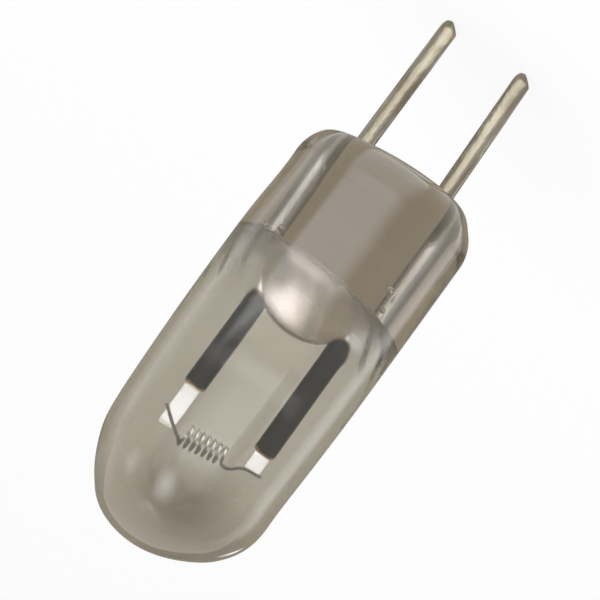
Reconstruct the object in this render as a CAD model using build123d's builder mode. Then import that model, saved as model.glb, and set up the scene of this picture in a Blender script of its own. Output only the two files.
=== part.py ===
from build123d import *
from math import atan, cos, radians, sin, sqrt, tan
import os

# Miniature two-pin xenon torch bulb. Millimetres, +Z from the base towards the dome.
# The origin is on the flat glass end, midway between the two pins, which point along -Z.

# Glass tube, outside
barrel_diameter = 5.5
glass_length = 12.4
base_corner = 1.2
shoulder_z = 4.9
dome_radius = 2.62

# Glass tube, inside
barrel_wall = 0.42
dome_wall = 0.66
bore_shoulder_z = 6.4
bore_dome_radius = 2.06

# Solid glass stem that closes the tube
ledge_z = 3.8
nose_radius = 1.6
meniscus_radius = 0.25

# Two contact pins
pin_spacing = 2.54
pin_diameter = 0.51
pin_length = 4.15
pin_seat = 0.06
pin_seat_clearance = 0.02
pin_tip_chamfer = 0.1
pin_tip_bevel = 0.3
pin_tip_bevel_angle = 40.0

# Wires sealed in the glass
seal_wire_diameter = 0.44

# Inner posts and their flattened tabs
post_diameter = 0.63
post_sink = 0.3
left_post_top_z = 8.45
right_post_top_z = 8.05
flattening_length = 0.12
tab_width = 0.5
tab_thickness = 0.26
tab_corner = 0.06
tab_end_round = 0.05
left_tab_end_z = 9.18
right_tab_end_z = 9.46

# Filament
wire_diameter = 0.09
wire_sides = 6
coil_diameter = 0.66
coil_pitch = 0.17
coil_turns = 6.75
coil_z = 9.26
coil_tilt = 4.0
right_leg_start = 0.14
right_leg_bend = 0.07
right_leg_rise = 0.5
left_leg_drop = 0.3
left_leg_run = 0.28
left_leg_bend = 0.1
left_leg_rise = 0.12
leg_overhang = 0.05

barrel_radius = barrel_diameter / 2
bore_radius = barrel_radius - barrel_wall
bore_top_z = glass_length - dome_wall
pin_radius = pin_diameter / 2
seal_wire_radius = seal_wire_diameter / 2
post_radius = post_diameter / 2
wire_radius = wire_diameter / 2
pin_offset = pin_spacing / 2
nose_at_post_z = ledge_z + sqrt(nose_radius**2 - pin_offset**2)
post_foot_z = nose_at_post_z - post_sink
sides = {
    "left": (-1, left_post_top_z, left_tab_end_z),
    "right": (1, right_post_top_z, right_tab_end_z),
}


def draw_shoulder_and_dome(radius, start_z, top_radius, top_z):
    """Add a barrel's drawn-in shoulder and dome to the open half section.

    The shoulder leaves the barrel upright and meets the dome's circle without a corner, at the
    height where both lean in by the same angle.
    """
    centre_z = top_z - top_radius
    lean = 2 * atan((radius - top_radius) / (centre_z - start_z))
    join = (top_radius * cos(lean), centre_z + top_radius * sin(lean))
    shoulder = TangentArc((radius, start_z), join, tangent=(0, 1))
    TangentArc(shoulder @ 1, (0, top_z), tangent=shoulder % 1)


def outside_half_section():
    """Half section of the whole glass body: flat end, round corner, barrel, shoulder and dome."""
    with BuildSketch(Plane.XZ) as section:
        with BuildLine():
            end = Line((0, 0), (barrel_radius - base_corner, 0))
            corner = JernArc(end @ 1, end % 1, base_corner, 90)
            Line(corner @ 1, (barrel_radius, shoulder_z))
            draw_shoulder_and_dome(barrel_radius, shoulder_z, dome_radius, glass_length)
            Line((0, glass_length), (0, 0))
        make_face()
    return section.sketch


with BuildPart() as glass_envelope:
    revolve(outside_half_section(), axis=Axis.Z)
    with BuildSketch(Plane.XZ):
        with BuildLine():
            mouth = Line((0, 0), (bore_radius, 0))
            Line(mouth @ 1, (bore_radius, bore_shoulder_z))
            draw_shoulder_and_dome(bore_radius, bore_shoulder_z, bore_dome_radius, bore_top_z)
            Line((0, bore_top_z), (0, 0))
        make_face()
    revolve(axis=Axis.Z, mode=Mode.SUBTRACT)

with BuildPart() as glass_stem:
    revolve(outside_half_section(), axis=Axis.Z)
    with BuildSketch(Plane.XZ):
        with BuildLine():
            Polyline((0, 0), (bore_radius, 0), (bore_radius, ledge_z), (nose_radius, ledge_z))
            nose = JernArc((nose_radius, ledge_z), (0, 1), nose_radius, 90)
            Line(nose @ 1, (0, 0))
        make_face()
    revolve(axis=Axis.Z, mode=Mode.INTERSECT)
    ledge_edges = glass_stem.edges().filter_by_position(Axis.Z, ledge_z, ledge_z)
    fillet(ledge_edges.filter_by(GeomType.CIRCLE).sort_by(SortBy.RADIUS)[0], meniscus_radius)
    with BuildSketch(Plane.XY):
        with GridLocations(pin_spacing, 0, 2, 1):
            Circle(pin_radius + pin_seat_clearance)
    extrude(amount=pin_seat, mode=Mode.SUBTRACT)
    with BuildSketch(Plane.XY):
        with GridLocations(pin_spacing, 0, 2, 1):
            Circle(seal_wire_radius)
    extrude(amount=post_foot_z, mode=Mode.SUBTRACT)
    with BuildSketch(Plane.XY.offset(post_foot_z)):
        with GridLocations(pin_spacing, 0, 2, 1):
            Circle(post_radius)
    extrude(amount=nose_radius, mode=Mode.SUBTRACT)


def make_pin(sign):
    """Contact pin with its end nipped off: a chamfered tip with one bevelled side."""
    axis_x = sign * pin_offset
    with BuildPart() as pin:
        with BuildSketch(Plane.XY.offset(pin_seat)):
            with Locations((axis_x, 0)):
                Circle(pin_radius)
        extrude(amount=-(pin_seat + pin_length))
        chamfer(pin.edges().group_by(Axis.Z)[0], pin_tip_chamfer)
        bevel_rise = pin_tip_bevel * tan(radians(pin_tip_bevel_angle))
        with BuildSketch(Plane.XZ):
            with BuildLine():
                corner_x = axis_x - pin_radius
                Polyline(
                    (corner_x, -pin_length),
                    (corner_x, -pin_length + bevel_rise),
                    (corner_x + pin_tip_bevel, -pin_length),
                    close=True,
                )
            make_face()
        extrude(amount=pin_radius, both=True, mode=Mode.SUBTRACT)
    return pin.part


def make_seal_wire(sign):
    """Wire through the solid glass, from the end of the pin to the foot of the post."""
    with BuildPart() as seal_wire:
        with BuildSketch(Plane.XY.offset(pin_seat)):
            with Locations((sign * pin_offset, 0)):
                Circle(seal_wire_radius)
        extrude(amount=post_foot_z - pin_seat)
    return seal_wire.part


def make_post(sign, top_z, tab_end_z):
    """Round post whose upper end is pressed flat into a tab that faces along Y."""
    axis_x = sign * pin_offset
    tab_start_z = top_z + flattening_length
    with BuildPart() as post:
        with BuildSketch(Plane.XY.offset(post_foot_z)):
            with Locations((axis_x, 0)):
                Circle(post_radius)
        extrude(amount=top_z - post_foot_z)
        with BuildSketch(Plane.XY.offset(top_z)):
            with Locations((axis_x, 0)):
                Circle(post_radius)
        with BuildSketch(Plane.XY.offset(tab_start_z)):
            with Locations((axis_x, 0)):
                RectangleRounded(tab_width, tab_thickness, tab_corner)
        loft()
        with BuildSketch(Plane.XY.offset(tab_start_z)):
            with Locations((axis_x, 0)):
                RectangleRounded(tab_width, tab_thickness, tab_corner)
        extrude(amount=tab_end_z - tab_start_z)
        fillet(post.edges().group_by(Axis.Z)[-1], tab_end_round)
    return post.part


# The coil starts on the dome side of its right end and stops on the front of its left end.
# Its axis runs along X and falls a little towards the base at the left.
coil_radius = (coil_diameter - wire_diameter) / 2
coil_length = coil_pitch * coil_turns
coil_axis = Vector(-cos(radians(coil_tilt)), 0, -sin(radians(coil_tilt)))
coil_start = Vector(0, 0, coil_z) - coil_axis * (coil_length / 2)
coil_plane = Plane(coil_start, x_dir=(0, 0, 1), z_dir=coil_axis)
coil = coil_plane * Helix(coil_pitch, coil_length, coil_radius)

# Each leg leaves the coil along its wire and lies on the front of its tab, past the far edge.
leg_y = -(tab_thickness + wire_diameter) / 2
tab_inner_x = pin_offset - tab_width / 2
leg_end_x = pin_offset + tab_width / 2 + leg_overhang
left_leg_low = coil @ 1 + coil % 1 * left_leg_drop

with BuildLine() as filament_line:
    FilletPolyline(
        (leg_end_x, leg_y, right_tab_end_z - right_leg_rise),
        (tab_inner_x, leg_y, right_tab_end_z - right_leg_bend),
        coil @ 0 - coil % 0 * right_leg_start,
        coil @ 0,
        radius=right_leg_bend,
    )
    add(coil)
    FilletPolyline(
        coil @ 1,
        left_leg_low,
        left_leg_low - (left_leg_run, 0, 0),
        (-tab_inner_x, leg_y, left_tab_end_z),
        (-leg_end_x, leg_y, left_tab_end_z - left_leg_rise),
        radius=left_leg_bend,
    )

# The hair-fine wire has a few-sided section, which keeps its long coil light.
filament_path = filament_line.wires()[0]
with BuildPart() as filament:
    with BuildSketch(Plane(filament_path @ 0, x_dir=(0, 1, 0), z_dir=filament_path % 0)):
        RegularPolygon(wire_radius, wire_sides)
    sweep(path=filament_path)

pieces = {
    "glass_envelope": glass_envelope.part,
    "glass_stem": glass_stem.part,
    "filament": filament.part,
}
for side, (sign, post_top_z, tab_end_z) in sides.items():
    pieces[f"{side}_pin"] = make_pin(sign)
    pieces[f"{side}_seal_wire"] = make_seal_wire(sign)
    pieces[f"{side}_post"] = make_post(sign, post_top_z, tab_end_z)

os.makedirs("parts", exist_ok=True)
for name, piece in pieces.items():
    piece.label = name
    export_step(piece, f"parts/{name}.step")
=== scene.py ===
"""Looks of a miniature two-pin xenon torch bulb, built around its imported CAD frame."""
import math

import bpy
import numpy as np
from mathutils import Matrix, Vector


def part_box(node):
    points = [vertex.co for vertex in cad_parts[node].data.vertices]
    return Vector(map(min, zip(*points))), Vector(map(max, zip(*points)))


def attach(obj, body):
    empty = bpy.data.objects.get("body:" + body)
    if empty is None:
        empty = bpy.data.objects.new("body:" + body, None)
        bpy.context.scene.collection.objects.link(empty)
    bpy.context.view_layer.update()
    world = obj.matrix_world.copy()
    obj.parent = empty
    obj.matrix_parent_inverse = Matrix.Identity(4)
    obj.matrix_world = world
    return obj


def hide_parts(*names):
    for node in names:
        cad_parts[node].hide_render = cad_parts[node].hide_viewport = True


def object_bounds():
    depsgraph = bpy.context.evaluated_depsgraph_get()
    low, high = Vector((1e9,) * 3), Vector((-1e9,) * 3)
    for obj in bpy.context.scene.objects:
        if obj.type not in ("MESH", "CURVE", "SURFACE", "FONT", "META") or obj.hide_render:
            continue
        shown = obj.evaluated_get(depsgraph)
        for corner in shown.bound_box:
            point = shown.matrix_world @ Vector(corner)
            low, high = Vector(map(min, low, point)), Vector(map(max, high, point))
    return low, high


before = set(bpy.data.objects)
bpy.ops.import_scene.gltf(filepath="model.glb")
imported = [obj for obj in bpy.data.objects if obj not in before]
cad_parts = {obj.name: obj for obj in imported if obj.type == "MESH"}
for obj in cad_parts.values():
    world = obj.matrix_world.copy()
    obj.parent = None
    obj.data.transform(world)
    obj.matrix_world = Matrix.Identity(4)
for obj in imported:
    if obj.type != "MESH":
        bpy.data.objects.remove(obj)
cad_low, cad_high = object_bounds()

MM = 0.001
SIDES = ("left", "right")

# Glass, outside
BARREL_RADIUS = min(cad_high.x, cad_high.y, -cad_low.x, -cad_low.y)
GLASS_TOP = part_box("glass_envelope")[1].z
GLASS_SEGMENTS = 180
BASE_CORNER = 1.2 * MM
SHOULDER_Z = 4.9 * MM
DOME_RADIUS = 2.62 * MM
DOME_POLE_GAP = 0.004  # radians from a dome's last ring to its pole
END_START = 0.02  # share of the flat end's radius at which its rings begin
END_SLANT = 0.07
END_LIFT = 0.05
END_SLANT_HEIGHT = 0.4 * MM
COLLAR_WIDTH = 0.16 * MM
COLLAR_HEIGHTS = {"left": 0.13 * MM, "right": 0.05 * MM}
COLLAR_FADE_Z = (0.02 * MM, 0.3 * MM)
FLAT_SIDE_DEPTH = 0.1 * MM
FLAT_SIDE_Z = 1.5 * MM
FLAT_SIDE_LENGTH = 1.3 * MM
DOME_SWAY = 0.1 * MM
DOME_SWAY_Z = 10.9 * MM
DOME_SWAY_LENGTH = 0.9 * MM
TIP_SWAY = 0.14 * MM
TIP_SWAY_Z = 11.5 * MM

# Glass, inside
BARREL_WALL = 0.42 * MM
DOME_WALL = 0.66 * MM
BORE_SHOULDER_Z = 6.4 * MM
BORE_DOME_RADIUS = 2.06 * MM
LEDGE_Z = 3.8 * MM
LEDGE_TILT = 0.11
LEDGE_CORNER_WIDTH = 0.35 * MM
LEDGE_CORNER_HEIGHT = 0.5 * MM
LEDGE_WAVE = 0.04 * MM
NOSE_RADIUS = 1.6 * MM
MENISCUS = 0.4 * MM
SEAM_START = 0.6  # share of the bore's radius
SEAM_TOP = 5.9 * MM
SEAM_RIPPLE = 0.055 * MM
RIPPLE_SEED = 2
RIPPLE_WAVES = range(4, 26, 2)  # counts round the bore
RIPPLE_CLIMB = (1.5, 6.0)  # radians per millimetre along the bore
RIPPLE_SHARE = 0.25  # of each wave in their sum
GROOVE_EDGE = (0.9 * NOSE_RADIUS, 1.1 * NOSE_RADIUS)
GROOVE_FADE_Z = (4.2 * MM, 5 * MM)
GROOVE_FROST = 2.5
FROST_FADE_Z = (5 * MM, SEAM_TOP)

# Gas seeds in the solid glass: place and radius
GAS_SEEDS = [
    ((-1.2 * MM, -0.6 * MM, 3.05 * MM), 0.12 * MM),
    ((-0.98 * MM, -0.8 * MM, 4.03 * MM), 0.09 * MM),
    ((-1.35 * MM, -0.7 * MM, 3.6 * MM), 0.08 * MM),
    ((1.35 * MM, -0.7 * MM, 3.4 * MM), 0.1 * MM),
    ((1.65 * MM, -0.4 * MM, 3.5 * MM), 0.09 * MM),
]
GAS_SEED_POLE_GAP = 0.05

# Wires
WIRE_SHARP_ANGLE = math.radians(35)
PIN_TIP_WIDTH = 0.12 * MM
PIN_TIP_LENGTH = 0.3 * MM
PIN_CAP_START = 0.05  # share of the pin's radius at which the rings of its end begin
PIN_BEVEL = 0.3 * MM
PIN_BEVEL_SLOPE = math.tan(math.radians(40))
PIN_ROOT = 0.35 * MM
PIN_LEANS = {"left": 0.1 * MM, "right": -0.04 * MM}
LEAD_SWAY = 0.13 * MM
LEAD_SWAY_Z = (3.6 * MM, 5.4 * MM)
SEAL_WIRE_SWELL = 0.03  # share of the wire's radius
SEAL_WIRE_WAVES = (2.1, 0.83)  # radians per millimetre along the wire
POST_TOPS = {"left": 8.45 * MM, "right": 8.05 * MM}
POST_WETTED_Z = {"left": 4.7 * MM, "right": 5.0 * MM}
WETTED_FADE = 0.1 * MM
FLATTENING = 0.12 * MM
TAB_WIDTH = 0.5 * MM
TAB_THICKNESS = 0.26 * MM
TAB_CORNER = 0.06 * MM
TAB_END_ROUND = 0.05 * MM
PRESS_START = 0.08 * MM
PRESS_DIP = 0.1 * MM
PRESS_HALF_WIDTH = 0.3 * MM

# Filament
FILAMENT_RADIUS = 0.045 * MM
FILAMENT_SHARP_ANGLE = math.radians(50)
COIL_RADIUS = 0.285 * MM
COIL_PITCH = 0.17 * MM
COIL_TURNS = 6.75
COIL_POINTS = 300
COIL_Z = 9.26 * MM
COIL_TILT = math.radians(4)
# The dome side of each coil turn is painted in shade, dark and duller; the base side takes a bright
# painted highlight.
COIL_SHADED_SIDE = (-0.1, 0.8)  # cosines of the turn from the dome side, from fresh to burnt
LEG_OVERHANG = 0.05 * MM
LEG_ROUNDINGS = 4
RIGHT_LEG_LEAVE = 0.14 * MM
RIGHT_LEG_EDGE_DROP = 0.07 * MM
RIGHT_LEG_END_DROP = 0.5 * MM
LEFT_LEG_LEAVE = 0.3 * MM
LEFT_LEG_RUN = 0.28 * MM
LEFT_LEG_END_DROP = 0.06 * MM

# Finishes, with colours from dark to light
NOISE_SPREAD = (0.3, 0.7)  # values of noise that take the first and the last colour
# Tints of the glass's outer film: painted shade that stands in for the darker surroundings seen through
# clear glass. The second, darker set lies round the dome.
TUBE_SHADE_TINTS = ((0.402, 0.376, 0.3), (0.433, 0.406, 0.328))
DOME_SHADE_TINTS = ((0.182, 0.159, 0.113), (0.214, 0.187, 0.135))
DARK_DOME_CENTRE = (-0.45 * MM, 0, 11.05 * MM)
DARK_DOME_STRETCH = (0.95, 0, 1.4)
DARK_DOME_REACH = (0.3 * MM, 2.45 * MM)  # all of it within the first distance, none past the second
# A tint all through the glass: painted shade that darkens the thick solid stem.
SOLID_GLASS_SHADE_TINT = (0.724, 0.668, 0.595, 1)
SOLID_GLASS_SHADE_DENSITY = 500.0  # of the tint, per metre
GLASS_INDEX = 1.5
FROST_ROUGHNESS = 0.16
PIN_COLOURS = ((0.17, 0.14, 0.1), (0.25, 0.22, 0.165), (0.36, 0.325, 0.25))
SEAL_WIRE_COLOURS = ((0.52, 0.54, 0.58), (0.6, 0.625, 0.67), (0.68, 0.7, 0.75))
DRAWN_SPREAD = (0.35, 0.5, 0.68)
# Tungsten colours: a painted highlight on the base side of each coil turn, then painted shade on its dome
# side and on the legs.
TUNGSTEN_PAINTED_LIT = ((0.7, 0.69, 0.67), (0.92, 0.91, 0.89))
TUNGSTEN_PAINTED_SHADE = ((0.17, 0.163, 0.15), (0.28, 0.27, 0.25))
PAINTED_SHADE_SPREAD = (0.2, 0.8)
POST_COLOURS = ((0.012, 0.01, 0.008), (0.032, 0.028, 0.024))
TAB_COLOURS = ((0.88, 0.89, 0.9), (0.95, 0.96, 0.98))
HEAT_LINE_COLOUR = (0.36, 0.24, 0.13, 1)

# View of the photograph
PIXELS_PER_MM = 37.45
IMAGE_PIXELS = 600
VIEW_AZIMUTH = math.radians(0)
VIEW_ELEVATION = math.radians(12)
AXIS_TURN = math.radians(54)
TARGET_ALONG = 4.344 * MM
TARGET_ACROSS = -0.208 * MM
CAMERA_DISTANCE = 300 * MM
CAMERA_NEAR = 1 * MM
SENSOR_WIDTH = 36.0

# Studio
WHITE = (1, 1, 1, 1)
LAMP_COLOUR = (0.93, 0.965, 1.0, 1)
INNER_LAMP_COLOUR = (0.64, 0.705, 1.0, 1)  # bluer, because the tint of the glass warms it
CARD_COLOUR = (0.3, 0.28, 0.235, 1)
FLOOR_COLOUR = (0.92, 0.92, 0.915, 1)
FLOOR_SHINE = 1.03
FLOOR_SHINE_SHARE = 0.85
FLOOR_HALF_WIDTH = 400 * MM
WORLD_LIGHT = 0.5
FAN_LIFT = 0.1 * MM
INNER_LIGHT_LIFT = 0.15 * MM
OVERHEAD_SIZE = 240 * MM
OVERHEAD_HEIGHT = 200 * MM
LIGHT_BOUNCES = 24

# Rows of the light panel: place along Y and height in millimetres, level of its glow, slopes of its
# left and right edges, and the share of its width over which each edge fades
LIGHT_PANEL_ROWS = np.array([
    (-0.5, 0, 0.9, -4.0, 4.0, 0.1),
    (-4, 0, 0.7, -1.5, 0.8, 0.2),
    (-15, 0, 0.7, -1.5, 0.52, 0.22),
    (-22, 0, 1, -1.5, 0.52, 0.22),
    (-41, 0, 1, -1.5, 0.52, 0.22),
    (-48, 0, 0.05, -1.5, 1.0, 0.22),
    (-85, 0, 0.05, -1.5, 1.0, 0.22),
    (-85, 3, 0.35, -0.6, 0.75, 0.1),
    (-85, 60, 0.28, -0.3, 0.75, 0.1),
    (-85, 76, 0, -0.15, 0.6, 0.1),
])

# Rows of the edge card: place along Y and height in millimetres
EDGE_CARD_ROWS = np.array([(4, 0), (20, 0), (50, 0), (90, 0), (90, 70)])
EDGE_CARD_SLOPE = 2.2
EDGE_CARD_FADE_START = 0.6  # share of its half width

# Rows of a side strip: place along Y and height in millimetres, and level of its glow
SIDE_STRIP_ROWS = np.array([(3, 0, 1), (8, 0, 1), (16, 0, 1), (16, 40, 0.3)])

# Rows of the front light: distance from the axis in millimetres, and level of its glow
FRONT_LIGHT_ROWS = np.array([(70, 0), (85, 1), (130, 1), (150, 0.5), (170, 0)])
FRONT_LIGHT_GAP = math.radians(8)
FRONT_LIGHT_FADE = 0.15  # share of its length at each end


# Meshes

def closed_tube(rings):
    """Shell around a stack of rings: quads between neighbouring rings, and a fan to the mean point
    of the first and the last ring, which are its last two points. Faces look outwards where the
    rings turn left along the stack."""
    count, around = rings.shape[:2]
    points = np.concatenate([rings.reshape(-1, 3), rings[:1].mean(axis=1), rings[-1:].mean(axis=1)])
    here = np.arange(count * around).reshape(count, around)
    after = np.roll(here, -1, axis=1)
    quads = np.stack([here[:-1], after[:-1], after[1:], here[1:]], axis=-1).reshape(-1, 4)
    start, end = count * around, count * around + 1
    first = np.stack([np.full(around, start), after[0], here[0]], axis=-1)
    last = np.stack([np.full(around, end), here[-1], after[-1]], axis=-1)
    return points, quads, np.concatenate([first, last])


def tube_values(ring_values):
    """One value for each point of a closed tube: those of its rings, and 1 at the two fans."""
    return np.concatenate([ring_values.ravel(), [1, 1]])


def inside_out(shell):
    """The same shell with its faces turned to the other side."""
    points, quads, triangles = shell
    return points, quads[:, ::-1], triangles[:, ::-1]


def add_attribute(mesh, name, values):
    """Gives the mesh a named number at each of its points."""
    layer = mesh.attributes.new(name, "FLOAT", "POINT")
    layer.data.foreach_set("value", values.ravel().astype(np.float32))


def make_piece(name, shells, material, replaced, sharp_angle=math.pi, attributes=None):
    """Joins shells into one smooth-shaded mesh object that rides on the bulb and stands for its
    CAD nodes. Edges past the sharp angle stay sharp. Each attribute has one value for each point."""
    faces, points, offset = [], [], 0
    for shell_points, quads, triangles in shells:
        points.append(shell_points)
        faces += (quads + offset).tolist() + (triangles + offset).tolist()
        offset += len(shell_points)
    mesh = bpy.data.meshes.new(name)
    mesh.from_pydata(np.concatenate(points).tolist(), [], faces)
    mesh.shade_smooth()
    mesh.set_sharp_from_angle(angle=sharp_angle)
    for attribute, values in (attributes or {}).items():
        add_attribute(mesh, attribute, values)
    mesh.materials.append(material)
    piece = bpy.data.objects.new(name, mesh)
    bpy.context.scene.collection.objects.link(piece)
    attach(piece, "root")
    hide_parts(*replaced)


def smooth_step(low, high, value):
    """0 below low, 1 above high, and the cubic 3t^2 - 2t^3 between them."""
    t = np.clip((value - low) / (high - low), 0, 1)
    return t * t * (3 - 2 * t)


def bell(middle, length, value):
    """1 at the middle, falling to both sides as exp(-t^2), where t is the distance over the length."""
    return np.exp(-((value - middle) / length) ** 2)


# Profiles, as points of radius and height

def arc(centre, radius, start, end, count):
    """Points of a circle, from one angle to another."""
    angle = np.linspace(start, end, count)
    return np.stack([centre[0] + radius * np.cos(angle), centre[1] + radius * np.sin(angle)], axis=1)


def line(start, end, count):
    """Evenly spaced points of a straight run."""
    return np.linspace(start, end, count)


def quarter_ellipse(radius, low_z, width, height, count):
    """Points that leave a level run and end in an upright wall at a radius. With t through a right
    angle, the radius is less by width times 1 - sin t, and the height grows by height times 1 - cos t."""
    turn = np.linspace(0, math.pi / 2, count)
    return np.stack([radius - width * (1 - np.sin(turn)), low_z + height * (1 - np.cos(turn))], axis=1)


def shoulder_and_dome(radius, start_z, dome_radius, top_z):
    """A wide arc that leaves the barrel upright, then the dome's circle to just short of the axis.
    The two meet where both lean in by the same angle, twice the arc tangent of step over height."""
    centre_z = top_z - dome_radius
    lean = 2 * math.atan((radius - dome_radius) / (centre_z - start_z))
    shoulder_radius = (centre_z + dome_radius * math.sin(lean) - start_z) / math.sin(lean)
    shoulder = arc((radius - shoulder_radius, start_z), shoulder_radius, 0, lean, count=60)
    dome = arc((0, centre_z), dome_radius, lean, math.pi / 2 - DOME_POLE_GAP, count=70)
    return np.concatenate([shoulder, dome[1:]])


def revolve(profile, around):
    """Rings of a profile turned about the Z axis."""
    angle = np.linspace(0, 2 * np.pi, around, endpoint=False)
    radius, height = profile[:, :1], profile[:, 1:]
    return np.stack([radius * np.cos(angle), radius * np.sin(angle), height + 0 * angle], axis=-1)


# Round wires of the frame

def wire_axis(node):
    """Where an upright wire stands along X: midway across its CAD box."""
    low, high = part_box(node)
    return (low.x + high.x) / 2


def wire_radius(node):
    """Half the width of an upright wire's CAD box."""
    low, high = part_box(node)
    return (high.x - low.x) / 2


# Glass

def outside_rings():
    """The bulb's outside: a flat end, a round corner, the barrel, the shoulder and the dome.

    The end leans a little across X, lifts at the front and runs out along each pin in a bell-shaped
    collar. The barrel is a little flat low on the +X side. The dome sways to -X and its tip back to
    +X."""
    inner = BARREL_RADIUS - BASE_CORNER
    profile = np.concatenate([
        line((END_START * inner, 0), (inner, 0), count=50),
        arc((inner, BASE_CORNER), BASE_CORNER, -math.pi / 2, 0, count=36)[1:],
        line((BARREL_RADIUS, BASE_CORNER), (BARREL_RADIUS, SHOULDER_Z), count=24)[1:],
        shoulder_and_dome(BARREL_RADIUS, SHOULDER_Z, DOME_RADIUS, GLASS_TOP)[1:],
    ])
    rings = revolve(profile, GLASS_SEGMENTS)
    x, y, z = rings[..., 0], rings[..., 1], rings[..., 2]
    low = 1 - smooth_step(0, END_SLANT_HEIGHT, z)
    rings[..., 2] += (END_SLANT * x + END_LIFT * np.maximum(-y, 0)) * low
    for side, height in COLLAR_HEIGHTS.items():
        pin = side + "_pin"
        away = np.maximum(np.hypot(x - wire_axis(pin), y) - wire_radius(pin), 0)
        on_end = 1 - smooth_step(*COLLAR_FADE_Z, z)
        rings[..., 2] -= height * bell(0, COLLAR_WIDTH, away) * on_end
    toward = np.maximum(x / np.hypot(x, y), 0)
    rings[..., 0] -= FLAT_SIDE_DEPTH * bell(FLAT_SIDE_Z, FLAT_SIDE_LENGTH, z) * toward**2
    bulge = bell(DOME_SWAY_Z, DOME_SWAY_LENGTH, z)
    tip = smooth_step(TIP_SWAY_Z, GLASS_TOP, z)
    rings[..., 0] += TIP_SWAY * tip - DOME_SWAY * bulge * (1 - tip)
    return rings


def inside_rings():
    """The hollow: the stem's round nose, its meniscus and ledge, the bore and the inner dome.

    The meniscus is the fillet between ledge and nose, and a tall quarter ellipse leads from the
    ledge into the bore. The ledge leans across X, and the bore is rippled above it, by a sum of
    waves round and along it, where the tube was fused to the stem."""
    bore = BARREL_RADIUS - BARREL_WALL
    bore_z = LEDGE_Z + LEDGE_CORNER_HEIGHT
    fillet_z = LEDGE_Z + MENISCUS
    fillet_r = math.sqrt((NOSE_RADIUS + MENISCUS) ** 2 - MENISCUS**2)
    touch = math.atan2(MENISCUS, fillet_r)
    profile = np.concatenate([
        arc((0, LEDGE_Z), NOSE_RADIUS, math.pi / 2 - DOME_POLE_GAP, touch, count=60),
        arc((fillet_r, fillet_z), MENISCUS, math.pi + touch, 1.5 * math.pi, count=16)[1:],
        quarter_ellipse(bore, LEDGE_Z, LEDGE_CORNER_WIDTH, LEDGE_CORNER_HEIGHT, count=40),
        line((bore, bore_z), (bore, BORE_SHOULDER_Z), count=50)[1:],
        shoulder_and_dome(bore, BORE_SHOULDER_Z, BORE_DOME_RADIUS, GLASS_TOP - DOME_WALL)[1:],
    ])
    rings = revolve(profile, GLASS_SEGMENTS)
    x, y, z = rings[..., 0], rings[..., 1], rings[..., 2]
    outer = smooth_step(SEAM_START * bore, bore, np.hypot(x, y))
    seam = outer * (1 - smooth_step(LEDGE_Z, SEAM_TOP, z))
    angle = np.arctan2(y, x)
    random = np.random.default_rng(RIPPLE_SEED)
    ripple = 0 * angle
    for waves in RIPPLE_WAVES:
        climb = random.uniform(*RIPPLE_CLIMB) / MM
        phase = random.uniform(0, 2 * np.pi)
        ripple += RIPPLE_SHARE * np.sin(waves * angle + climb * z + phase)
    rings[..., :2] *= (1 + seam * ripple * SEAM_RIPPLE / bore)[..., None]
    rings[..., 2] += (LEDGE_WAVE * ripple - LEDGE_TILT * x) * seam
    return rings


def gas_seed_rings(centre, radius):
    """A small round seed in the glass, as rings of a sphere."""
    pole = math.pi / 2 - GAS_SEED_POLE_GAP
    return revolve(arc((0, 0), radius, -pole, pole, count=14), around=20) + np.array(centre)


def make_glass(material):
    """One fused body: the outside, with the hollow and the gas seeds as inner walls. The hollow is
    frosted low down, and more in the groove round the nose."""
    outside = closed_tube(outside_rings())
    hollow = inside_out(closed_tube(inside_rings()))
    seeds = [inside_out(closed_tube(gas_seed_rings(*seed))) for seed in GAS_SEEDS]
    shells = [outside, hollow] + seeds
    outer = np.concatenate([np.full(len(shell[0]), float(shell is outside)) for shell in shells])
    x, y, z = hollow[0].T
    groove = smooth_step(*GROOVE_EDGE, np.hypot(x, y)) * (1 - smooth_step(*GROOVE_FADE_Z, z))
    low = 1 - smooth_step(*FROST_FADE_Z, z)
    start = len(outside[0])
    frost = 0 * outer
    frost[start:start + len(z)] = low * (1 + GROOVE_FROST * groove)
    make_piece("glass_body", shells, material, ["glass_envelope", "glass_stem"],
               attributes={"outer": outer, "frost": frost})


# Wires

def round_section(around):
    """Unit directions of a ring, half a step off the axes."""
    angle = (np.arange(around) + 0.5) * 2 * np.pi / around
    return np.stack([np.cos(angle), np.sin(angle)], axis=-1)


def make_pin(side, material):
    """A round pin, from inside the glass down to its tip. The tip's edge is a quarter ellipse, and
    every point below a plane that rises towards -X is lifted onto it, as the cutter left it. Below
    the glass the pin leans along X, in proportion to depth."""
    node = side + "_pin"
    radius = wire_radius(node)
    tip_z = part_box(node)[0].z
    shaft_z = tip_z + 2 * PIN_BEVEL
    profile = np.concatenate([
        line((PIN_CAP_START * radius, tip_z), (radius - PIN_TIP_WIDTH, tip_z), count=10)[:-1],
        quarter_ellipse(radius, tip_z, PIN_TIP_WIDTH, PIN_TIP_LENGTH, count=12),
        line((radius, tip_z + PIN_TIP_LENGTH), (radius, shaft_z), count=30)[1:],
        line((radius, shaft_z), (radius, PIN_ROOT), count=40)[1:],
    ])
    xy = profile[:, None, :1] * round_section(around=48)
    cut = tip_z + (PIN_BEVEL - radius - xy[..., 0]) * PIN_BEVEL_SLOPE
    z = np.maximum(profile[:, 1:], cut)
    lean = PIN_LEANS[side] * np.minimum(z, 0) / tip_z
    rings = np.stack([xy[..., 0] + wire_axis(node) + lean, xy[..., 1], z], axis=-1)
    make_piece(side + "_contact_pin", [closed_tube(rings)], material, [node],
               WIRE_SHARP_ANGLE)


def lead_rings(node, xy, z):
    """Rings of a lead: its section at each height, set on its axis. In the solid glass the axis is
    the frame's, and above the nose it stands off towards -X, with a smooth step between."""
    x = xy[..., 0] + (wire_axis(node) - LEAD_SWAY * smooth_step(*LEAD_SWAY_Z, z))[:, None]
    return np.stack([x, xy[..., 1], np.broadcast_to(z[:, None], x.shape)], axis=-1)


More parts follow.
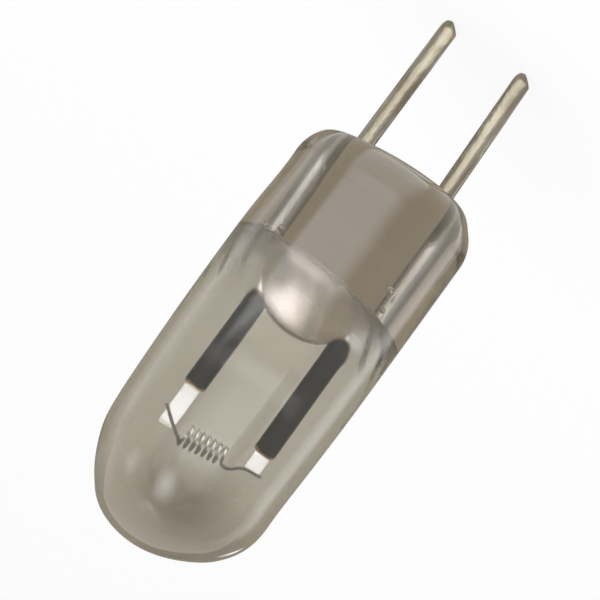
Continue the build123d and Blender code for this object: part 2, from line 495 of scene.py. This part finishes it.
def make_seal_wire(side, material):
    """A thin round wire through the solid glass. Its radius swells and thins a little along it, by
    the product of two sines of height."""
    node = side + "_seal_wire"
    low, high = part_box(node)
    z = np.linspace(low.z, high.z, 80)
    first, second = [np.sin(z * waves / MM) for waves in SEAL_WIRE_WAVES]
    swell = 1 - SEAL_WIRE_SWELL * (1 + first * second)
    xy = (wire_radius(node) * swell)[:, None, None] * round_section(around=32)
    rings = lead_rings(node, xy, z)
    make_piece(side + "_lead_in_wire", [closed_tube(rings)], material, [node],
               WIRE_SHARP_ANGLE)


def make_post(side, material):
    """A round post pressed into a flat tab. Its section goes from a circle to a rounded rectangle
    over the flattening, and the tab's end shrinks by a quarter circle. It is bright at its wetted
    foot and from the press mark up, whose edge is a parabola across the post."""
    node = side + "_post"
    low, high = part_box(node)
    top = POST_TOPS[side]
    tab_z = top + FLATTENING
    turn = np.linspace(0, np.pi / 2, 8)[1:]
    z = np.concatenate([
        np.linspace(low.z, top, 60),
        np.linspace(top, tab_z, 16)[1:],
        np.linspace(tab_z, high.z - TAB_END_ROUND, 20)[1:],
        high.z - TAB_END_ROUND * (1 - np.sin(turn)),
    ])
    shrink = TAB_END_ROUND / 2 * (1 - np.cos(turn))
    inset = np.concatenate([np.zeros(len(z) - len(turn)), shrink])[:, None, None]
    flat = smooth_step(top, tab_z, z)[:, None, None]
    directions = round_section(around=64)
    circle = (high.y - low.y) / 2 * directions
    half = np.array([TAB_WIDTH, TAB_THICKNESS]) / 2
    rectangle = np.sign(directions) * (half - TAB_CORNER - inset) + directions * (TAB_CORNER - inset)
    xy = circle * (1 - flat) + rectangle * flat
    dip = PRESS_DIP * (1 - (xy[..., 0] / PRESS_HALF_WIDTH) ** 2)
    pressed = smooth_step(top - PRESS_START, tab_z, z[:, None] - dip)
    wetted = smooth_step(-WETTED_FADE, WETTED_FADE, POST_WETTED_Z[side] - z)[:, None]
    rings = lead_rings(node, xy, z)
    make_piece(side + "_support_post", [closed_tube(rings)], material, [node],
               WIRE_SHARP_ANGLE, {"bright": tube_values(np.maximum(pressed, wetted))})


# Filament

def cut_corners(points, times):
    """Rounds a polyline: each run keeps the points at one and three quarters of its length, and the
    two ends stay."""
    for _ in range(times):
        first, last = points[:-1], points[1:]
        runs = np.stack([0.75 * first + 0.25 * last, 0.25 * first + 0.75 * last], axis=1)
        points = np.concatenate([points[:1], runs.reshape(-1, 3)[1:-1], points[-1:]])
    return points


def filament_path():
    """Right leg, coil and left leg as one line. The coil is a right-handed helix along a tilted axis,
    from the dome side at the right to the front at the left; each leg starts along its tangent. Also
    gives which points are on the left leg, and how much painted shade each takes: all of the legs and
    the dome side of each turn, while the base side takes a painted highlight."""
    axis = np.array([-math.cos(COIL_TILT), 0, -math.sin(COIL_TILT)])
    up = np.array([-math.sin(COIL_TILT), 0, math.cos(COIL_TILT)])
    back = np.cross(axis, up)
    turn = np.linspace(0, 2 * np.pi * COIL_TURNS, COIL_POINTS)[:, None]
    centre = np.array([0, 0, COIL_Z]) + axis * COIL_PITCH * (turn / (2 * np.pi) - COIL_TURNS / 2)
    coil = centre + COIL_RADIUS * (up * np.cos(turn) + back * np.sin(turn))
    leave = (coil[0] - coil[1]) / np.linalg.norm(coil[0] - coil[1])
    arrive = (coil[-1] - coil[-2]) / np.linalg.norm(coil[-1] - coil[-2])
    leg_y = -TAB_THICKNESS / 2 - FILAMENT_RADIUS
    left_x, right_x = [wire_axis(side + "_post") - LEAD_SWAY for side in SIDES]
    left_z, right_z = [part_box(side + "_post")[1].z for side in SIDES]
    edge = TAB_WIDTH / 2
    reach = edge + LEG_OVERHANG
    right_leg = cut_corners(np.array([
        (right_x + reach, leg_y, right_z - RIGHT_LEG_END_DROP),
        (right_x - edge, leg_y, right_z - RIGHT_LEG_EDGE_DROP),
        coil[0] + leave * RIGHT_LEG_LEAVE,
        coil[0],
    ]), LEG_ROUNDINGS)
    bend = coil[-1] + arrive * LEFT_LEG_LEAVE
    left_leg = cut_corners(np.array([
        coil[-1],
        bend,
        bend - (LEFT_LEG_RUN, 0, 0),
        (left_x + edge, leg_y, left_z),
        (left_x - reach, leg_y, left_z - LEFT_LEG_END_DROP),
    ]), LEG_ROUNDINGS)
    path = np.concatenate([right_leg[:-1], coil, left_leg[1:]])
    before, after = len(right_leg) - 1, len(left_leg) - 1
    on_left_leg = np.concatenate([np.zeros(before + COIL_POINTS), np.ones(after)])
    coil_painted_shade = smooth_step(*COIL_SHADED_SIDE, np.cos(turn[:, 0]))
    burnt = np.concatenate([np.ones(before), coil_painted_shade, np.ones(after)])
    return path, on_left_leg, burnt


def make_filament(material):
    """A round wire along the filament's line. Each ring lies across the line's tangent; its first
    direction is X made square to the tangent, or Y along the left leg, which runs along X."""
    path, on_left_leg, burnt = filament_path()
    tangent = np.gradient(path, axis=0)
    tangent /= np.linalg.norm(tangent, axis=1)[:, None]
    guide = np.stack([1 - on_left_leg, on_left_leg, 0 * on_left_leg], axis=1)
    first = guide - (guide * tangent).sum(axis=1)[:, None] * tangent
    first /= np.linalg.norm(first, axis=1)[:, None]
    second = np.cross(tangent, first)
    section = FILAMENT_RADIUS * round_section(around=12)
    rings = path[:, None] + section[:, :1] * first[:, None] + section[:, 1:] * second[:, None]
    burnt = tube_values(np.repeat(burnt, len(section)))
    make_piece("tungsten_filament", [closed_tube(rings)], material, ["filament"],
               FILAMENT_SHARP_ANGLE, {"burnt": burnt})


# Shader expressions

class Socket:
    """A shader node's output. Arithmetic on it adds Math nodes to its tree."""

    def __init__(self, tree, link):
        self.tree = tree
        self.link = link

    def math(self, operation, *values):
        return self.tree.node("ShaderNodeMath", {"operation": operation}, dict(enumerate(values)))

    def at_most(self, limit):
        return self.math("MINIMUM", self, limit)

    def __add__(self, other):
        return self.math("ADD", self, other)

    def __sub__(self, other):
        return self.math("SUBTRACT", self, other)

    def __rsub__(self, other):
        return self.math("SUBTRACT", other, self)

    def __mul__(self, other):
        return self.math("MULTIPLY", self, other)

    __radd__ = __add__
    __rmul__ = __mul__


class Tree:
    """A material's or the world's node tree, emptied."""

    def __init__(self, owner):
        owner.use_nodes = True
        self.tree = owner.node_tree
        self.tree.nodes.clear()

    def node(self, kind, settings=None, inputs=None, output=0):
        """Adds a node of that type: its settings first, a ramp's stops among them, then the values or
        links of its sockets. Returns one of its outputs."""
        made = self.tree.nodes.new(kind)
        for name, value in (settings or {}).items():
            if name == "stops":
                ramp = made.color_ramp.elements
                while len(ramp) < len(value):
                    ramp.new(0.5)
                for element, (position, colour) in zip(ramp, value):
                    element.position = position
                    element.color = (*colour, 1)
            else:
                setattr(made, name, value)
        for name, value in (inputs or {}).items():
            if isinstance(value, Socket):
                self.tree.links.new(value.link, made.inputs[name])
            else:
                made.inputs[name].default_value = value
        return Socket(self, made.outputs[output]) if made.outputs else None

    def noise(self, scale, detail, stretch=(1, 1, 1)):
        """Noise over the piece in its own coordinates, in features per metre, stretched by axis."""
        place = self.node("ShaderNodeTexCoord", output="Object")
        place = self.node("ShaderNodeMapping", inputs={"Vector": place, "Scale": stretch})
        return self.node("ShaderNodeTexNoise", inputs={"Vector": place, "Scale": scale, "Detail": detail})

    def away_from(self, centre, weights, low, high):
        """0 within one distance of a place on the piece and 1 past another, with a smooth step between
        them. The weights stretch the distance by axis."""
        place = self.node("ShaderNodeTexCoord", output="Object")
        offset = self.node("ShaderNodeVectorMath", {"operation": "SUBTRACT"}, {0: place, 1: centre})
        offset = self.node("ShaderNodeVectorMath", {"operation": "MULTIPLY"}, {0: offset, 1: weights})
        distance = self.node("ShaderNodeVectorMath", {"operation": "LENGTH"}, {0: offset}, output="Value")
        settings = {"interpolation_type": "SMOOTHSTEP"}
        inputs = {"Value": distance, "From Min": low, "From Max": high}
        return self.node("ShaderNodeMapRange", settings, inputs)

    def attribute(self, name):
        """A number that the mesh holds at each point."""
        return self.node("ShaderNodeAttribute", {"attribute_name": name}, output="Fac")

    def seen(self):
        """1 for rays from the camera, from metal and through glass, 0 for the rest."""
        camera = self.node("ShaderNodeLightPath", output="Is Camera Ray")
        glossy = self.node("ShaderNodeLightPath", output="Is Glossy Ray")
        through = self.node("ShaderNodeLightPath", output="Is Transmission Ray")
        return (camera + glossy + through).at_most(1.0)

    def ramp(self, value, positions, colours):
        """Colour by a value, from colours at positions."""
        return self.node("ShaderNodeValToRGB", {"stops": list(zip(positions, colours))}, {"Fac": value})

    def grey(self, value, positions, numbers):
        """A number by a value, from numbers at positions."""
        return self.ramp(value, positions, [(number,) * 3 for number in numbers])

    def mix(self, share, first, second):
        """Between two colours, by share."""
        settings = {"data_type": "RGBA"}
        return self.node("ShaderNodeMix", settings, {0: share, 6: first, 7: second}, output=2)

    def bump(self, height, strength, distance):
        """A surface normal tilted by a height."""
        inputs = {"Height": height, "Strength": strength, "Distance": distance}
        return self.node("ShaderNodeBump", inputs=inputs)

    def clear(self):
        """A face that lets all light through."""
        return self.node("ShaderNodeBsdfTransparent", inputs={"Color": WHITE})

    def metal(self, colour, roughness, normal):
        """A bare metal surface."""
        return self.node("ShaderNodeBsdfPrincipled", inputs={
            "Base Color": colour,
            "Metallic": 1.0,
            "Roughness": roughness,
            "Normal": normal,
        })

    def finish(self, surface, **others):
        """The material's output."""
        self.node("ShaderNodeOutputMaterial", inputs={"Surface": surface, **others})


def new_material(name):
    """A material of that name, and its emptied tree."""
    material = bpy.data.materials.new(name)
    return material, Tree(material)


# Finishes

def glass_material():
    """Clear glass with painted shade: a tinted film on its outside that stands in for the darker
    surroundings seen through it, darker round the dome, and a tint all through as painted shade that
    makes the solid stem darker; frosted at the seal, with faint drawn waves and haze all over."""
    material, tree = new_material("clear_glass_painted_shade")
    haze = tree.noise(scale=700, detail=4)
    waves = tree.noise(scale=420, detail=2, stretch=(1, 1, 0.3))
    # Painted shade: the outer film's tint, darker round the dome
    tube_shade_tint = tree.ramp(haze, NOISE_SPREAD, TUBE_SHADE_TINTS)
    dome_shade_tint = tree.ramp(haze, NOISE_SPREAD, DOME_SHADE_TINTS)
    clear_share = tree.away_from(DARK_DOME_CENTRE, DARK_DOME_STRETCH, *DARK_DOME_REACH)
    film = tree.mix(clear_share, dome_shade_tint, tube_shade_tint)
    haze_roughness = tree.grey(haze, (0.35, 0.75), (0.02, 0.07))
    surface = tree.node("ShaderNodeBsdfPrincipled", inputs={
        "Base Color": tree.mix(tree.attribute("outer"), WHITE, film),
        "Roughness": haze_roughness + FROST_ROUGHNESS * tree.attribute("frost"),
        "IOR": GLASS_INDEX,
        "Transmission Weight": 1.0,
        "Normal": tree.bump(waves, strength=0.25, distance=0.03 * MM),
    })
    tint = {"Color": SOLID_GLASS_SHADE_TINT, "Density": SOLID_GLASS_SHADE_DENSITY}
    body = tree.node("ShaderNodeVolumeAbsorption", inputs=tint)
    tree.finish(surface, Volume=body)
    return material


def drawn_metal(name, colours, roughness, lines, mottle):
    """Drawn wire: fine lines along Z in its colour, roughness and surface, with tarnish in patches.
    The mottle is the height of shallow dents all over it."""
    material, tree = new_material(name)
    streaks = tree.noise(scale=9000, detail=3, stretch=(1, 1, 0.02))
    tarnish = tree.noise(scale=1500, detail=5, stretch=(1, 1, 0.4))
    dents = tree.noise(scale=3600, detail=2, stretch=(1, 1, 0.6))
    tree.finish(tree.metal(
        colour=tree.ramp(streaks * 0.4 + tarnish * 0.6, DRAWN_SPREAD, colours),
        roughness=roughness + streaks * lines,
        normal=tree.bump(streaks * 0.35 + dents * mottle, strength=1.0, distance=0.004 * MM),
    ))
    return material


def tungsten_material():
    """Drawn tungsten with painted light: bright as a painted highlight, and dark and duller as
    painted shade where the mesh's attribute marks it.
    """
    material, tree = new_material("satin_tungsten")
    streaks = tree.noise(scale=9000, detail=3)
    # Painted shade where the mesh marks it, a painted highlight elsewhere
    burnt = tree.attribute("burnt") + (tree.noise(scale=4000, detail=4) - 0.5) * 0.5
    painted_lit_colour = tree.ramp(streaks, NOISE_SPREAD, TUNGSTEN_PAINTED_LIT)
    painted_shade_colour = tree.ramp(streaks, NOISE_SPREAD, TUNGSTEN_PAINTED_SHADE)
    tree.finish(tree.metal(
        colour=tree.mix(tree.grey(burnt, PAINTED_SHADE_SPREAD, (0, 1)), painted_lit_colour, painted_shade_colour),
        roughness=tree.grey(burnt, PAINTED_SHADE_SPREAD, (0.08, 0.22)) + streaks * 0.06,
        normal=tree.bump(streaks, strength=0.3, distance=0.004 * MM),
    ))
    return material


def post_material():
    """Dark oxidised post with brown heat lines, a bright foot where glass wets it and a bright pressed
    tab, by the mesh's bright attribute."""
    material, tree = new_material("dark_post_bright_tab")
    streaks = tree.noise(scale=7000, detail=3, stretch=(1, 1, 0.03))
    stain = tree.noise(scale=2600, detail=4)
    dark = tree.ramp(streaks * 0.5 + stain * 0.5, NOISE_SPREAD, POST_COLOURS)
    light = tree.ramp(stain, NOISE_SPREAD, TAB_COLOURS)
    edge = tree.attribute("bright") + (stain - 0.5) * 0.9
    heat_lines = tree.mix(tree.grey(edge, (0.15, 0.4), (0, 1)), dark, HEAT_LINE_COLOUR)
    tree.finish(tree.metal(
        colour=tree.mix(tree.grey(edge, (0.6, 0.8), (0, 1)), heat_lines, light),
        roughness=tree.grey(edge, (0.3, 0.8), (0.4, 0.12)) + streaks * 0.08,
        normal=tree.bump(streaks + stain * 0.4, strength=0.3, distance=0.006 * MM),
    ))
    return material


def floor_material():
    """Pale floor that rays from the camera, metal and glass see as near white, with soft shadows."""
    material, tree = new_material("pale_floor")
    diffuse = tree.node("ShaderNodeBsdfDiffuse", inputs={"Color": FLOOR_COLOUR})
    white = tree.node("ShaderNodeEmission", inputs={"Color": WHITE, "Strength": FLOOR_SHINE})
    share = tree.seen() * FLOOR_SHINE_SHARE
    tree.finish(tree.node("ShaderNodeMixShader", inputs={0: share, 1: diffuse, 2: white}))
    return material


def glow_material(name, radiance, colour=LAMP_COLOUR, reflected=False):
    """A light's face: a radiance in plain units, times the mesh's glow attribute, added in front of
    whatever lies behind it. It shines from its front only. A reflected light is seen only by rays
    that metal or glass has turned back, so it never shows straight through the bulb."""
    material, tree = new_material(name)
    front = 1 - tree.node("ShaderNodeNewGeometry", output="Backfacing")
    strength = tree.attribute("glow") * front * radiance
    if reflected:
        strength = strength * tree.node("ShaderNodeLightPath", output="Glossy Depth").at_most(1.0)
        material.cycles.emission_sampling = "NONE"
    shine = tree.node("ShaderNodeEmission", inputs={"Color": colour, "Strength": strength})
    tree.finish(tree.node("ShaderNodeAddShader", inputs={0: tree.clear(), 1: shine}))
    return material


def edge_card_material():
    """A dark card, fading out where the mesh's glow attribute does."""
    material, tree = new_material("edge_card")
    dark = tree.node("ShaderNodeEmission", inputs={"Color": CARD_COLOUR, "Strength": 1.0})
    share = tree.attribute("glow")
    tree.finish(tree.node("ShaderNodeMixShader", inputs={0: share, 1: tree.clear(), 2: dark}))
    return material


# Stage

def make_stage_piece(name, points, material, glow=None):
    """A grid of points as a stage surface. With a glow it is a light or a card that the camera skips."""
    rows, columns = points.shape[:2]
    here = np.arange(rows * columns).reshape(rows, columns)
    faces = np.stack([here[:-1, :-1], here[:-1, 1:], here[1:, 1:], here[1:, :-1]], axis=-1)
    mesh = bpy.data.meshes.new(name)
    mesh.from_pydata(points.reshape(-1, 3).tolist(), [], faces.reshape(-1, 4).tolist())
    mesh.materials.append(material)
    piece = bpy.data.objects.new(name, mesh)
    if glow is not None:
        add_attribute(mesh, "glow", glow)
        piece.visible_camera = False
        piece.visible_shadow = False
    bpy.context.scene.collection.objects.link(piece)
    return piece


def show_in_reflections(piece):
    """Leaves a stage piece to reflections: matt surfaces and rays through glass don't see it."""
    piece.visible_diffuse = False
    piece.visible_transmission = False


def show_through_glass(piece):
    """Leaves a stage piece to rays through glass: matt surfaces and reflections don't see it."""
    piece.visible_diffuse = False
    piece.visible_glossy = False


def make_floor():
    """A wide flat square at the height of the pin tips."""
    side = np.array([-FLOOR_HALF_WIDTH, FLOOR_HALF_WIDTH])
    x, y = np.meshgrid(side, side)
    make_stage_piece("floor", np.stack([x, y, 0 * x + cad_low.z], axis=-1), floor_material())


def make_world():
    """White surroundings: full white to the camera, metal and glass, and weaker as light."""
    world = bpy.data.worlds.new("studio")
    bpy.context.scene.world = world
    tree = Tree(world)
    strength = WORLD_LIGHT + (1 - WORLD_LIGHT) * tree.seen()
    white = tree.node("ShaderNodeBackground", inputs={"Color": WHITE, "Strength": strength})
    tree.node("ShaderNodeOutputWorld", inputs={"Surface": white})


def make_softbox(name, direction, distance, width, height, radiance):
    """A softbox that faces the bulb's middle from a direction. Its glow fades to its edges as
    the square of (1 - u^2)(1 - v^2) across and up."""
    middle = np.array((cad_low + cad_high) / 2)
    away = np.array(direction) / np.linalg.norm(direction)
    across = np.cross((0, 0, 1), away)
    across /= np.linalg.norm(across)
    up = np.cross(away, across)
    u, v = np.meshgrid(np.linspace(1, -1, 17), np.linspace(-1, 1, 17))
    points = middle + away * distance + (u[..., None] * across * width + v[..., None] * up * height) / 2
    glow = ((1 - u**2) * (1 - v**2)) ** 2
    return make_stage_piece(name, points, glow_material(name, radiance), glow)


def fan_points(distance, height, slope):
    """A fan that spreads from the bulb's axis, along the floor and then upright: each row has its
    distance and height, and its points step aside by slope times distance."""
    floor_z = cad_low.z + FAN_LIFT
    return np.stack([slope * distance, 0 * slope + distance, 0 * slope + floor_z + height], axis=-1)


def fade_both_ends(share, fade):
    """Rises over a share of the length at its start and falls over as much at its end."""
    return smooth_step(0, fade, share) * smooth_step(0, fade, 1 - share)


def make_light_panel(radiance):
    """A low fan of light in front that the barrel and the wires reflect, with a narrow upright end
    for the dome. Its glow fades towards its two sides."""
    distance, height, level, left, right, fade = LIGHT_PANEL_ROWS.T[..., None]
    share = np.linspace(1, 0, 41)[None]
    points = fan_points(distance * MM, height * MM, right + (left - right) * share)
    material = glow_material("light_panel", radiance, reflected=True)
    make_stage_piece("light_panel", points, material, level * fade_both_ends(share, fade))


def make_edge_card():
    """A dark fan behind that only reflections see, and that draws the glass's edges."""
    distance, height = EDGE_CARD_ROWS.T[..., None] * MM
    share = np.linspace(-1, 1, 21)[None]
    points = fan_points(distance, height, EDGE_CARD_SLOPE * share)
    glow = 1 - smooth_step(EDGE_CARD_FADE_START, 1, np.abs(share)) + 0 * distance
    show_in_reflections(make_stage_piece("edge_card", points, edge_card_material(), glow))


def make_inner_light(name, centre, size, peak, radiance, reflected=False):
    """A small soft light on the floor, at a place, of a width and depth, that only rays through the
    glass see. Its glow is the square of 1 - u^2 across, times smooth steps up to the peak and down
    from it along its depth."""
    u, v = np.meshgrid(np.linspace(-1, 1, 17), np.linspace(-1, 1, 33))
    x = centre[0] + u * size[0] / 2
    y = centre[1] + v * size[1] / 2
    points = np.stack([x, y, 0 * x + cad_low.z + INNER_LIGHT_LIFT], axis=-1)
    glow = ((1 - u**2) * smooth_step(-1, peak, v) * (1 - smooth_step(peak, 1, v))) ** 2
    material = glow_material(name, radiance, INNER_LAMP_COLOUR, reflected)
    show_through_glass(make_stage_piece(name, points, material, glow))


def make_front_light(radiance):
    """A half ring of light on the floor in front, far enough out that only the tabs and the filament
    inside the glass reflect it. Its glow fades towards its edges and its two ends."""
    reach, level = FRONT_LIGHT_ROWS[::-1].T[..., None]
    share = np.linspace(0, 1, 41)[None]
    turn = math.pi + FRONT_LIGHT_GAP + (math.pi - 2 * FRONT_LIGHT_GAP) * share
    x, y = reach * MM * np.cos(turn), reach * MM * np.sin(turn)
    points = np.stack([x, y, 0 * x + cad_low.z + INNER_LIGHT_LIFT], axis=-1)
    glow = level * fade_both_ends(share, FRONT_LIGHT_FADE)
    material = glow_material("front_light", radiance, INNER_LAMP_COLOUR, reflected=True)
    show_through_glass(make_stage_piece("front_light", points, material, glow))


def make_side_strip(name, slopes, radiance):
    """A strip of light beside the bulb, low and then upright, that only reflections see, for the pale
    band along that side. The two slopes are those of a fan, and its glow is the square of a parabola
    across them."""
    distance, height, level = SIDE_STRIP_ROWS.T[..., None]
    share = np.linspace(0, 1, 21)[None]
    start, end = np.arctan(slopes)
    points = fan_points(distance * MM, height * MM, np.tan(start + (end - start) * share))
    glow = (4 * share * (1 - share)) ** 2 * level
    show_in_reflections(make_stage_piece(name, points, glow_material(name, radiance), glow))


def make_overhead(radiance):
    """A wide plain softbox straight above."""
    light = bpy.data.lights.new("overhead", "AREA")
    light.size = OVERHEAD_SIZE
    light.energy = radiance * math.pi * OVERHEAD_SIZE**2
    lamp = bpy.data.objects.new("overhead", light)
    lamp.location = (0, 0, OVERHEAD_HEIGHT)
    lamp.visible_camera = False
    lamp.visible_glossy = False
    bpy.context.scene.collection.objects.link(lamp)


def make_camera():
    """A long lens in front of the bulb, raised towards its dome. The picture is turned so that the
    bulb's axis points down to the left, by the axis turn below the horizontal."""
    away = Vector((
        math.sin(VIEW_AZIMUTH) * math.cos(VIEW_ELEVATION),
        -math.cos(VIEW_AZIMUTH) * math.cos(VIEW_ELEVATION),
        math.sin(VIEW_ELEVATION),
    ))
    along = (Vector((0, 0, 1)) - away * away.z).normalized()
    across = away.cross(along)
    right = -math.cos(AXIS_TURN) * along + math.sin(AXIS_TURN) * across
    up = -math.sin(AXIS_TURN) * along - math.cos(AXIS_TURN) * across
    data = bpy.data.cameras.new("photo_view")
    data.sensor_width = SENSOR_WIDTH
    data.lens = SENSOR_WIDTH * CAMERA_DISTANCE / (IMAGE_PIXELS / PIXELS_PER_MM * MM)
    data.clip_start = CAMERA_NEAR
    camera = bpy.data.objects.new("photo_view", data)
    place = TARGET_ALONG * along + TARGET_ACROSS * across + CAMERA_DISTANCE * away
    turn = Matrix((right, up, away)).transposed()
    camera.matrix_world = Matrix.Translation(place) @ turn.to_4x4()
    bpy.context.scene.collection.objects.link(camera)
    bpy.context.scene.camera = camera


make_glass(glass_material())
pin_metal = drawn_metal("warm_nickel", PIN_COLOURS, roughness=0.2, lines=0.2, mottle=9.0)
seal_metal = drawn_metal("wetted_wire", SEAL_WIRE_COLOURS, roughness=0.16, lines=0.12, mottle=0.0)
post_metal = post_material()
for side in SIDES:
    make_pin(side, pin_metal)
    make_seal_wire(side, seal_metal)
    make_post(side, post_metal)
make_filament(tungsten_material())

make_floor()
make_world()
make_softbox("key_light", direction=(0.2, -0.6, 0.77), distance=130 * MM,
             width=75 * MM, height=120 * MM, radiance=5.0)
make_softbox("side_light", direction=(0.81, -0.13, 0.58), distance=130 * MM,
             width=60 * MM, height=60 * MM, radiance=2.2)
make_overhead(radiance=0.6)
make_light_panel(radiance=2.6)
make_inner_light("nose_light", centre=(-1.7 * MM, 14.5 * MM), size=(6.6 * MM, 26 * MM),
                 peak=-0.4, radiance=7.2)
make_inner_light("wire_light", centre=(11 * MM, -24 * MM), size=(130 * MM, 90 * MM),
                 peak=0.0, radiance=2.6, reflected=True)
make_front_light(radiance=3.6)
make_side_strip("minus_x_strip", slopes=(-30, -1.4), radiance=1.6)
make_side_strip("plus_x_strip", slopes=(0.95, 20), radiance=0.8)
# A small softbox low behind, for a glint on the edge of the dome
rim_light = make_softbox("rim_light", direction=(-0.45, 0.88, 0.19), distance=80 * MM,
                         width=12 * MM, height=20 * MM, radiance=3.5)
show_in_reflections(rim_light)
make_edge_card()
make_camera()

scene = bpy.context.scene
scene.view_settings.view_transform = "Standard"
scene.cycles.max_bounces = LIGHT_BOUNCES
scene.cycles.transmission_bounces = LIGHT_BOUNCES
scene.cycles.glossy_bounces = LIGHT_BOUNCES
